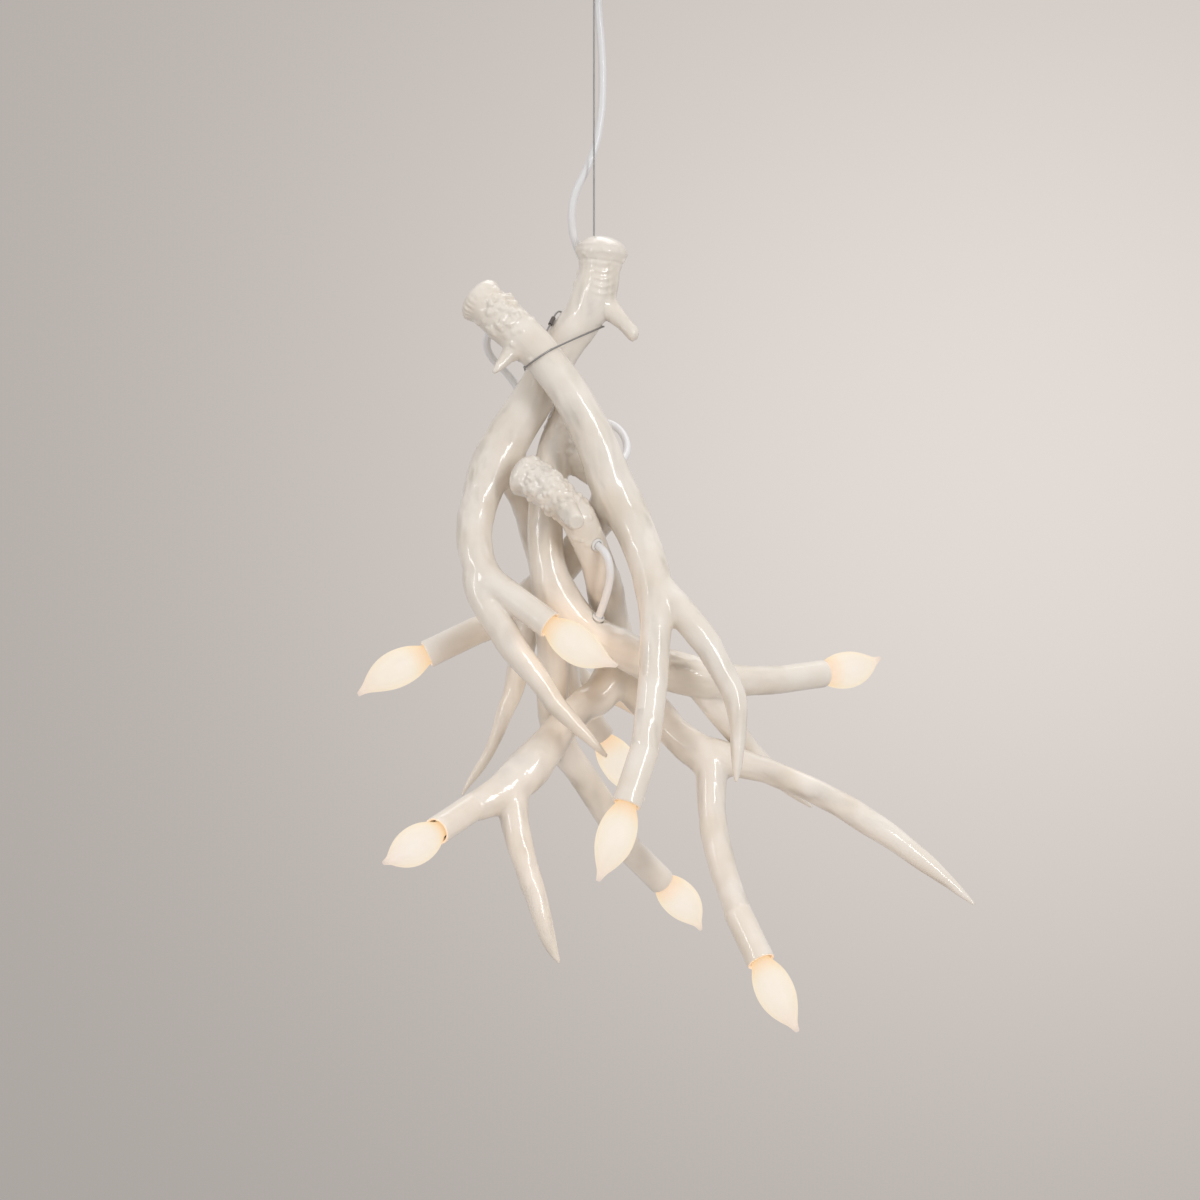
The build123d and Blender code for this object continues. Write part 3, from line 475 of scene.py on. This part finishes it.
BURRS = {
    "antler_front": Burr(
        centre=(-0.0955, -0.0252, -0.3195),
        outward=(-0.719, 0.21, 0.63),
        rim=0.0195,
        run=0.085,
        pearls=70,
        soft_passes=8,
        crowds=(
            Crowd((-0.080, -0.047, -0.322), 0.009, 30, 0.0034, 0.0036),
            Crowd((-0.070, -0.049, -0.337), 0.008, 14, 0.0028, 0.0022),
        ),
    ),
    "antler_top": Burr(
        centre=(0.0065, 0, -0.274),
        outward=(0.1, 0, 0.995),
        rim=0.0218,
        run=0.045,
        pearls=30,
        soft_passes=26,
        crowds=(),
    ),
    "antler_low": Burr(
        centre=(-0.057, -0.0302, -0.4672),
        outward=(-0.78, 0.49, 0.45),
        rim=0.0182,
        run=0.11,
        pearls=70,
        soft_passes=8,
        crowds=(
            Crowd((-0.048, -0.050, -0.468), 0.010, 55, 0.0026, 0.0024),
            Crowd((-0.030, -0.052, -0.487), 0.012, 70, 0.0028, 0.0024),
        ),
    ),
    "antler_back": Burr(
        centre=(-0.0185, 0.0256, -0.3965),
        outward=(0.27, 0.27, 0.94),
        rim=0.016,
        run=0.09,
        pearls=70,
        soft_passes=8,
        crowds=(),
    ),
}

# The top antler's cap: radius at each millimetre from 13 below the rim's plane to 4 above it, and
# the height of the dome over it at a few radii
CAP_BOTTOM = -0.014
CAP_TOP = 0.004
CAP_RADII = (
    *(0.0199, 0.0203, 0.0196, 0.0193, 0.0195, 0.0200, 0.0206, 0.0214, 0.0221),
    *(0.0226, 0.0228, 0.0227, 0.0224, 0.0219, 0.0213, 0.0207, 0.0200, 0.0192),
)
DOME_RADII = (0, 0.006, 0.011, 0.015, 0.018, 0.0205, 0.0222)
DOME_HEIGHTS = (0.0116, 0.0111, 0.0096, 0.0076, 0.0054, 0.0027, 0)
CAP_REACH = 0.03

# The top antler's brow tine, which ends bluntly
BLUNT_ROOT = (0.016, -0.006, -0.328)
BLUNT_TIP = (0.035, -0.012, -0.352)
BLUNT_WIDTH = 0.011
BLUNT_GROWTH = 0.75

# The sharp edge under the top antler's cap, below the rim's plane
EDGE_LEVEL = 0.0108
EDGE_WIDTH = 0.0010
EDGE_DEPTH = 0.0009

# Folds on the front of the top antler's neck
FOLD_X = 0.0078
FOLD_Z = -0.302
FOLD_PITCH = 0.0063
FOLD_SAG = 0.004725
FOLD_HEIGHT = 0.0010

# Ribs on the front antler's crown, strongest against this direction
RIB_SIDE = (0.63, 0.0, 0.72)
RIB_NUMBER = 26
RIB_HEIGHT = 0.0007

TENSOR_PAIRS = ((0, 0), (1, 1), (2, 2), (0, 1), (0, 2), (1, 2))


def along_tube(points, rim, root):
    """How far points lie out from a lamp tube's rim, their offset from its axis, and the axis."""
    along = np.array(rim) - np.array(root)
    along /= np.linalg.norm(along)
    offset = points - np.array(rim)
    reach = offset @ along
    return reach, offset - reach[:, None] * along, along


def tube_mask(points):
    """1 away from the lamp tubes, 0 in and near them."""
    keep = np.ones(len(points))
    for rim, root, _ in LAMPS.values():
        reach, aside, _ = along_tube(points, rim, root)
        keep[(np.linalg.norm(aside, axis=1) < SMOOTH_RADIUS) & (reach > -SMOOTH_DEPTH)] = 0
    return keep


def mean_of_neighbours(values, ties):
    """The mean of each point's neighbours; ties are the edges' ends and the neighbours' number."""
    start, end, valence = ties
    total = [np.bincount(start, v[end], len(v)) + np.bincount(end, v[start], len(v)) for v in values.T]
    return np.stack(total, 1) / valence[:, None]


def eased(points, ties, share):
    """Points moved by a share of the way to the mean of their neighbours."""
    return points + share * (mean_of_neighbours(points, ties) - points)


def normals_of(mesh, points):
    """Normals of a mesh once it takes these points."""
    mesh.vertices.foreach_set("co", points.astype(np.float32).ravel())
    mesh.update()
    normals = np.empty(len(points) * 3, np.float32)
    mesh.vertices.foreach_get("normal", normals)
    return normals.reshape(-1, 3).astype(float)


def bell(values, width):
    """A smooth bump: 1 at 0, and near 0 beyond twice the width."""
    return np.exp(-((values / width) ** 2))


def scatter(points, weight, spacing, wanted):
    """Indices of points picked at random by weight, at least a spacing apart."""
    if weight.sum() == 0:
        return []
    order = RNG.choice(len(points), min(len(points), wanted * 12), p=weight / weight.sum())
    chosen = []
    for index in order:
        if all(np.sum((points[index] - points[c]) ** 2) > spacing**2 for c in chosen):
            chosen.append(index)
        if len(chosen) >= wanted:
            break
    return chosen


def streaks(points, normals, ties):
    """Uneven lengthwise ridges: noise drawn out along each limb, about -1 to 1."""
    start, end, _ = ties
    count = len(points)
    spread = np.stack([normals[:, i] * normals[:, j] for i, j in TENSOR_PAIRS], 1)
    for _ in range(14):
        spread = mean_of_neighbours(spread, ties)
    tensor = np.empty((count, 3, 3))
    for column, (i, j) in enumerate(TENSOR_PAIRS):
        tensor[:, i, j] = tensor[:, j, i] = spread[:, column]
    # a limb runs where the normals round it point least
    along = np.linalg.eigh(tensor)[1][:, :, 0]
    step = points[end] - points[start]
    step /= np.linalg.norm(step, axis=1)[:, None] + 1e-12
    pull = ((step * along[start]).sum(1) ** 8 + (step * along[end]).sum(1) ** 8) / 2 + 0.02
    total = np.bincount(start, pull, count) + np.bincount(end, pull, count)
    value = RNG.normal(size=(count, 1))
    for _ in range(3):
        value = mean_of_neighbours(value, ties)
    value = value[:, 0]
    for _ in range(STREAK_PASSES):
        drawn = np.bincount(start, pull * value[end], count) + np.bincount(end, pull * value[start], count)
        value = drawn / total
    value /= value.std()
    return np.clip(value, -2, 2) / 2


def shape_cap(points, centre, outward):
    """The top antler's cap: a smooth dome over a rim and a ledge."""
    offset = points - centre
    level = offset @ outward
    aside = offset - level[:, None] * outward
    out = np.linalg.norm(aside, axis=1) + 1e-9
    near = out < CAP_REACH
    levels = np.linspace(CAP_BOTTOM, CAP_TOP, len(CAP_RADII) + 1)
    had = np.array([np.percentile(out[near & (abs(level - here) < 0.0007)], 85) for here in levels])
    want = np.array([had[0], *CAP_RADII])
    scale = np.interp(level, levels, want / had)
    outside = near & (out > 0.8 * np.interp(level, levels, had))
    side = outside * np.clip((level - CAP_BOTTOM) / 0.002, 0, 1) * np.clip((CAP_TOP - level) / 0.003, 0, 1)
    top = near * np.clip((level - 0.0005) / 0.002, 0, 1)
    dome = np.interp(out, DOME_RADII, DOME_HEIGHTS)
    moved = points + (top * (dome - level))[:, None] * outward
    return moved + ((1 - top) * side * (scale - 1))[:, None] * aside


def blunt_tine(points):
    """Thicken the outer half of the top antler's brow tine."""
    root = np.array(BLUNT_ROOT)
    axis = np.array(BLUNT_TIP) - root
    length = np.linalg.norm(axis)
    axis /= length
    reach = (points - root) @ axis
    aside = points - root - reach[:, None] * axis
    tine = (reach > 0) & (reach < length + 0.003) & (np.linalg.norm(aside, axis=1) < BLUNT_WIDTH)
    grow = BLUNT_GROWTH * np.clip((reach / length - 0.45) / 0.45, 0, 1) ** 1.5
    return points + (tine * grow)[:, None] * aside


def trim_mouths(points):
    """Keep the skin inside the rounded lips of the lamp tubes."""
    for rim, root, _ in LAMPS.values():
        reach, aside, along = along_tube(points, rim, root)
        out = np.linalg.norm(aside, axis=1) + 1e-9
        near = (out > MOUTH_RADII[0]) & (out < MOUTH_RADII[1])
        near &= (reach > MOUTH_REACH[0]) & (reach < MOUTH_REACH[1])
        target = np.where(out > WALL_MIDDLE, np.minimum(out, TUBE_SKIN), np.maximum(out, POCKET_SKIN))
        points[near] += (aside * (target / out - 1)[:, None])[near]
        points[near] += (np.minimum(reach, -LIP_COVER) - reach)[near, None] * along
    return points


def web_forks(mesh, points, ties):
    """Fill the hollow corners where limbs meet, and leave the rest."""
    keep = tube_mask(points)
    for step in range(WEB_STEPS):
        if step % 10 == 0:
            normals = normals_of(mesh, points)
        pull = mean_of_neighbours(points, ties) - points
        lift = np.einsum("ij,ij->i", pull, normals)
        points = points + (np.clip(lift, 0, None) * keep * 0.95)[:, None] * normals
    for _ in range(4):
        points = eased(points, ties, 0.4 * keep[:, None])
    return points


def pearl_rise(points, normals, burr, behind, far, keep):
    """Pearls along the root of the beam, crowded where the casting has them."""
    root = np.clip(1 - far / burr.run, 0, 1) ** 1.3 * (behind > 0.006) * keep
    places = scatter(points, root, PEARL_SPACING, burr.pearls)
    pearls = [(i, RNG.uniform(*PEARL_SIZES), RNG.uniform(*PEARL_HEIGHTS)) for i in places]
    for crowd in burr.crowds:
        gap = points - np.array(crowd.place)
        near = np.exp(-np.sum(gap**2, axis=1) / (2 * crowd.spread**2)) * (behind > 0.004)
        for index in scatter(points, near, crowd.size * 1.1, crowd.number):
            size = RNG.uniform(0.6, 1) * crowd.size
            height = RNG.uniform(0.5, 1) * crowd.height
            pearls.append((index, size, height))
    lumps = np.zeros(len(points))
    wander = np.array([noise.noise(Vector(p) * LUMP_OUTLINE_SCALE) for p in points])
    for index, size, height in pearls:
        gap = points - points[index]
        close = np.einsum("ij,ij->i", gap, gap) * (1 + 0.9 * wander)
        near = (close < (2.2 * size) ** 2) & (normals @ normals[index] > -0.2)
        lumps[near] = np.maximum(lumps[near], height * np.exp(-((close[near] / (1.5 * size**2)) ** 2.2)))
    return lumps


def neck_rise(points, normals, behind, far):
    """The edge under the top antler's cap, and the sagging folds on the front of its neck."""
    edge = -EDGE_DEPTH * bell(behind - EDGE_LEVEL, EDGE_WIDTH) * (far < CAP_REACH)
    x, z = points[:, 0], points[:, 2]
    fold = z - FOLD_SAG * ((x - 0.0075) / 0.012) ** 2
    window = np.exp(-(((x - FOLD_X) / 0.0085) ** 4)) * np.exp(-(((z - FOLD_Z) / 0.0135) ** 4))
    wave = (0.5 + 0.5 * np.sin(2 * np.pi * fold / FOLD_PITCH)) ** 2
    return edge + FOLD_HEIGHT * window * (normals[:, 1] < -0.2) * wave


def rib_rise(offset, outward, behind, far):
    """Fine ribs on the left of the front antler's crown."""
    side = np.cross(outward, [0, 1, 0])
    side /= np.linalg.norm(side)
    angle = np.arctan2(offset @ np.cross(outward, side), offset @ side)
    left = np.clip(-(offset @ np.array(RIB_SIDE)) / 0.012, 0, 1)
    return RIB_HEIGHT * left * bell(behind, 0.004) * (far > 0.012) * np.sin(RIB_NUMBER * angle)


def remeshed(node):
    """An even mesh over a node's solid, its points, and what ties them together."""
    rough = bpy.data.objects.new(node.name + "_rough", node.data.copy())
    bpy.context.collection.objects.link(rough)
    rough.matrix_world = node.matrix_world
    remesh = rough.modifiers.new("skin", "REMESH")
    remesh.mode = "VOXEL"
    remesh.voxel_size = VOXEL
    graph = bpy.context.evaluated_depsgraph_get()
    mesh = bpy.data.meshes.new_from_object(rough.evaluated_get(graph))
    mesh.transform(node.matrix_world)
    bpy.data.objects.remove(rough)

    count = len(mesh.vertices)
    points = np.empty(count * 3, np.float32)
    mesh.vertices.foreach_get("co", points)
    edges = np.empty(len(mesh.edges) * 2, np.int32)
    mesh.edges.foreach_get("vertices", edges)
    start, end = edges.reshape(-1, 2).T
    valence = np.bincount(start, minlength=count) + np.bincount(end, minlength=count)
    return mesh, points.reshape(-1, 3).astype(float), (start, end, valence)


def dress_antler(name):
    """The glazed skin that stands for an antler's solid in the pictures."""
    burr = BURRS[name]
    centre = np.array(burr.centre)
    outward = np.array(burr.outward) / np.linalg.norm(burr.outward)
    mesh, points, ties = remeshed(NODES[name])

    # even out the facets without shrinking, and soften the crown
    behind = -((points - centre) @ outward)
    far = np.linalg.norm(points - centre, axis=1)
    crown = bell(behind, 0.006) * (far < burr.rim * 1.4)
    for _ in range(6):
        points = eased(points, ties, 0.5)
        points = eased(points, ties, -0.51)
    for _ in range(burr.soft_passes):
        points = eased(points, ties, (0.5 * crown)[:, None])
    if name == "antler_top":
        points = blunt_tine(shape_cap(points, centre, outward))
        for _ in range(7):
            points = eased(points, ties, 0.5 * (far < CAP_REACH)[:, None])
    points = web_forks(mesh, points, ties)

    normals = normals_of(mesh, points)
    offset = points - centre
    behind = -(offset @ outward)
    far = np.linalg.norm(offset, axis=1)
    keep = tube_mask(points)
    rise = STREAK_HEIGHT * keep * streaks(points, normals, ties)
    swell = np.array([noise.noise(Vector(p) * SWELL_SCALE) for p in points])
    rise += SWELL_HEIGHT * keep * swell
    rise += pearl_rise(points, normals, burr, behind, far, keep)
    if name == "antler_top":
        rise += neck_rise(points, normals, behind, far)
    if name == "antler_front":
        rise += rib_rise(offset, outward, behind, far)

    points = trim_mouths(points + rise[:, None] * normals)
    mesh.vertices.foreach_set("co", points.astype(np.float32).ravel())
    mesh.update()
    mesh.polygons.foreach_set("use_smooth", np.ones(len(mesh.polygons), bool))
    mesh.materials.clear()
    mesh.materials.append(GLAZE)
    skin = bpy.data.objects.new(name + "_skin", mesh)
    bpy.context.collection.objects.link(skin)
    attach(skin, "cluster")
    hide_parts(name)


for name in BURRS:
    dress_antler(name)

# ---------------------------------------------------------------- backdrop, floor and light
world = bpy.data.worlds.new("studio")
scene.world = world
world.use_nodes = True
nodes = world.node_tree.nodes
links = world.node_tree.links


def compute(operation, *values):
    """A maths node of the world; each value is a number or a socket."""
    node = nodes.new("ShaderNodeMath")
    node.operation = operation
    for slot, value in zip(node.inputs, values):
        if isinstance(value, (int, float)):
            slot.default_value = value
        else:
            links.new(value, slot)
    return node.outputs[0]


# The camera alone sees a wall that is brightest to the right. The rest is lit by an even room,
# lighter above than below.
place = nodes.new("ShaderNodeTexCoord")
split = nodes.new("ShaderNodeSeparateXYZ")
links.new(place.outputs["Generated"], split.inputs["Vector"])
east, north, up = split.outputs["X"], split.outputs["Y"], split.outputs["Z"]
across = compute("DIVIDE", compute("SUBTRACT", east, POOL_PLACE[0]), POOL_SIZE[0])
height = compute("DIVIDE", compute("SUBTRACT", up, POOL_PLACE[1]), POOL_SIZE[1])
distance = compute("ADD", compute("MULTIPLY", across, across), compute("MULTIPLY", height, height))
pool = compute("MULTIPLY", compute("EXPONENT", compute("MULTIPLY", distance, -1)), POOL_LEVEL)
pool = compute("MULTIPLY", pool, compute("GREATER_THAN", north, 0))
rear = compute("MINIMUM", compute("MULTIPLY", compute("SUBTRACT", 1, north), 0.5), REAR_WALL_EXTRA)
wall = compute("ADD", compute("ADD", rear, WALL_LEVEL), compute("MULTIPLY", up, WALL_RISE))
wall = compute("ADD", wall, pool)
room = compute("ADD", compute("MULTIPLY", up, ROOM_RISE), ROOM_LEVEL)
seen = nodes.new("ShaderNodeLightPath").outputs["Is Camera Ray"]
unseen = compute("SUBTRACT", 1, seen)
level = compute("ADD", compute("MULTIPLY", wall, seen), compute("MULTIPLY", room, unseen))
links.new(level, nodes["Background"].inputs["Strength"])
tint = nodes.new("ShaderNodeMix")
tint.data_type = "RGBA"
links.new(seen, tint.inputs["Factor"])
tint.inputs["A"].default_value = ROOM_TINT
tint.inputs["B"].default_value = WALL_TINT
links.new(tint.outputs["Result"], nodes["Background"].inputs["Color"])

floor_mesh = bpy.data.meshes.new("floor")
disc = bmesh.new()
bmesh.ops.create_circle(disc, cap_ends=True, radius=FLOOR_RADIUS, segments=96)
disc.to_mesh(floor_mesh)
disc.free()
floor = bpy.data.objects.new("floor", floor_mesh)
floor.location = (0, 0, FLOOR_Z)
bpy.context.collection.objects.link(floor)
floor_mesh.materials.append(plain("floor_paint", (0.62, 0.58, 0.55), 0.85))


def soft_light(name, place, aim, size, energy):
    """A softbox that points from its place at its aim."""
    lamp = bpy.data.lights.new(name, "AREA")
    lamp.shape = "RECTANGLE"
    lamp.size, lamp.size_y = size
    lamp.energy = energy
    lamp.color = STUDIO_WHITE
    light = bpy.data.objects.new(name, lamp)
    light.location = place
    light.rotation_euler = (Vector(aim) - Vector(place)).to_track_quat("-Z", "Y").to_euler()
    bpy.context.collection.objects.link(light)


soft_light("key", (1.5, -2.3, 0.1), (0, 0, -0.6), (0.45, 1.5), 25)
soft_light("left", (-1.9, -1.7, 0.0), (0, 0, -0.6), (0.22, 1.3), 9)
soft_light("top", (0.3, 0.6, 1.0), (0, 0, -0.55), (1.2, 1.0), 6)
